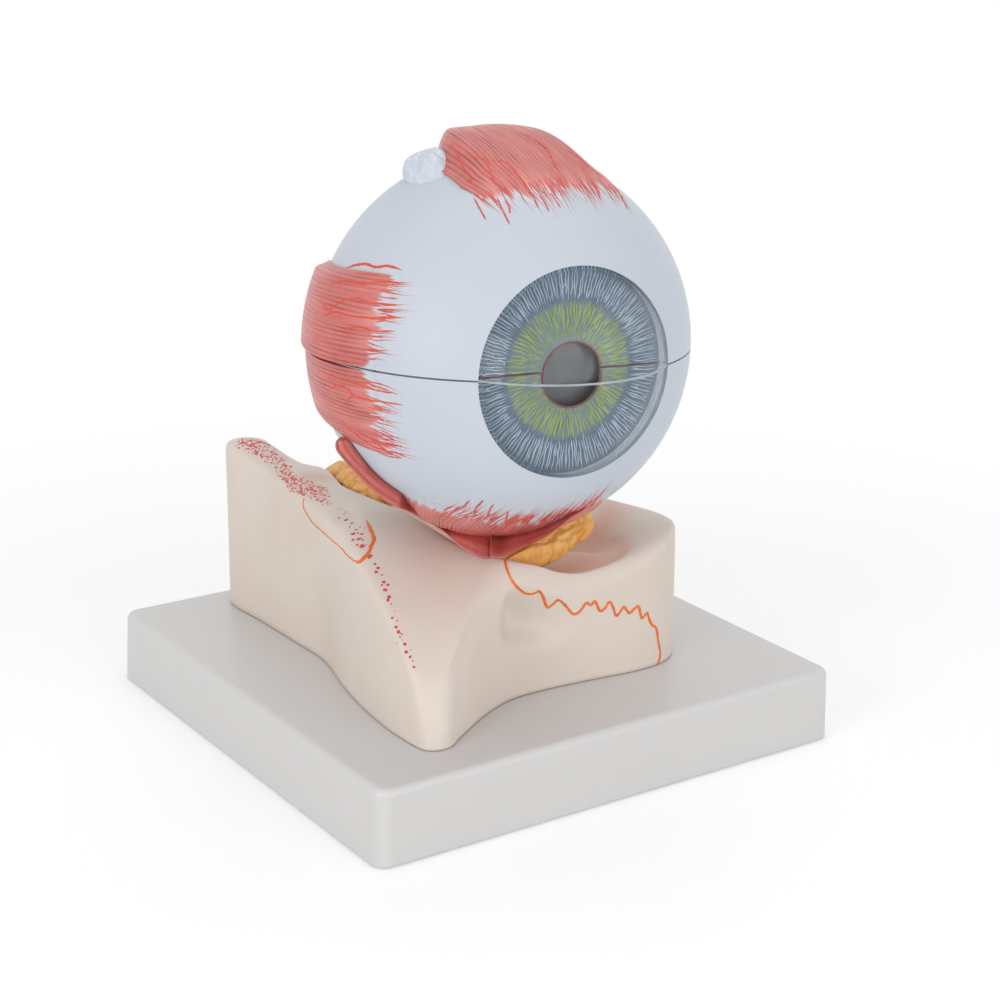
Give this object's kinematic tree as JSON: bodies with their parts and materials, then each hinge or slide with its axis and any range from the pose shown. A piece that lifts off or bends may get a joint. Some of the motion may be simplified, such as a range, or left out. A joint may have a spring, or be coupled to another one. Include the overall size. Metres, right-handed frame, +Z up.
{
  "type": "eye anatomy model",
  "caption": "Desktop model of a human eye in its orbit on a base plate, parted on a level cut so that the halves, inner coats, lens and vitreous body lift out.",
  "frame": {"origin": "middle of the model's footprint, at the level that the feet stand on", "axes": "+Z up; the eye looks along -Y, turned a little to -X; +X to the right when seen from the front"},
  "size_m": [0.182, 0.1934, 0.2106],
  "materials": {
    "plate": "glossy white moulded plastic",
    "foot_rubber": "matte black",
    "steel": "bright steel",
    "bone": "satin cream casting with painted sutures",
    "fat": "lumpy, painted orange yellow",
    "muscle": "painted red fibres under a semi-gloss coat",
    "tendon": "whitish, finely textured",
    "sclera": "glossy bluish white",
    "cornea": "clear polished plastic",
    "choroid": "red brown outside, orange inside with painted vessels",
    "iris": "blue grey and yellow green painted rays",
    "ciliary": "dark brown ridges",
    "clear_body": "clear",
    "clear_lens": "clear",
    "nerve": "pale yellow"
  },
  "bodies": {
    "base": {"base_plate": "plate", "foot_front_left": "foot_rubber", "foot_front_right": "foot_rubber", "foot_back_left": "foot_rubber", "foot_back_right": "foot_rubber", "orbit_screw_1": "steel", "orbit_screw_2": "steel", "orbit_screw_3": "steel", "orbit_screw_4": "steel", "seat_pin": "steel", "orbit_bone": "bone", "inferior_oblique": "muscle", "inferior_rectus": "muscle", "orbital_fat_lateral": "fat", "orbital_fat_medial": "fat"},
    "lower_sclera": {"lower_sclera": "sclera", "lower_cornea": "cornea", "medial_rectus_lower": "muscle", "lateral_rectus_lower": "muscle", "inferior_rectus_insertion": "muscle", "optic_nerve": "nerve", "rim_pin_1": "steel", "rim_pin_2": "steel", "rim_pin_3": "steel", "rim_pin_4": "steel"},
    "lower_choroid": {"lower_choroid": "choroid", "lower_iris": "iris", "lower_ciliary_body": "ciliary"},
    "vitreous": {"vitreous_body": "clear_body"},
    "lens": {"lens": "clear_lens"},
    "upper_choroid": {"upper_choroid": "choroid", "upper_iris": "iris", "upper_ciliary_body": "ciliary"},
    "upper_sclera": {"upper_sclera": "sclera", "upper_cornea": "cornea", "superior_rectus": "muscle", "superior_oblique_tendon": "tendon", "medial_rectus_upper": "muscle", "lateral_rectus_upper": "muscle"}
  },
  "joints": [
    {"name": "lift_eyeball", "type": "slide", "parent": "base", "child": "lower_sclera", "axis": [0.025, 0.0291, 0.9993], "range_m": [0, 0.06]},
    {"name": "lift_lower_choroid", "type": "slide", "parent": "lower_sclera", "child": "lower_choroid", "axis": [0.025, 0.0291, 0.9993], "range_m": [0, 0.065]},
    {"name": "lift_vitreous", "type": "slide", "parent": "lower_choroid", "child": "vitreous", "axis": [0.025, 0.0291, 0.9993], "range_m": [0, 0.065]},
    {"name": "lift_lens", "type": "slide", "parent": "vitreous", "child": "lens", "axis": [0.025, 0.0291, 0.9993], "range_m": [0, 0.08]},
    {"name": "lift_upper_choroid", "type": "slide", "parent": "lens", "child": "upper_choroid", "axis": [0.025, 0.0291, 0.9993], "range_m": [0, 0.065]},
    {"name": "lift_upper_sclera", "type": "slide", "parent": "upper_choroid", "child": "upper_sclera", "axis": [0.025, 0.0291, 0.9993], "range_m": [0, 0.07]}
  ]
}
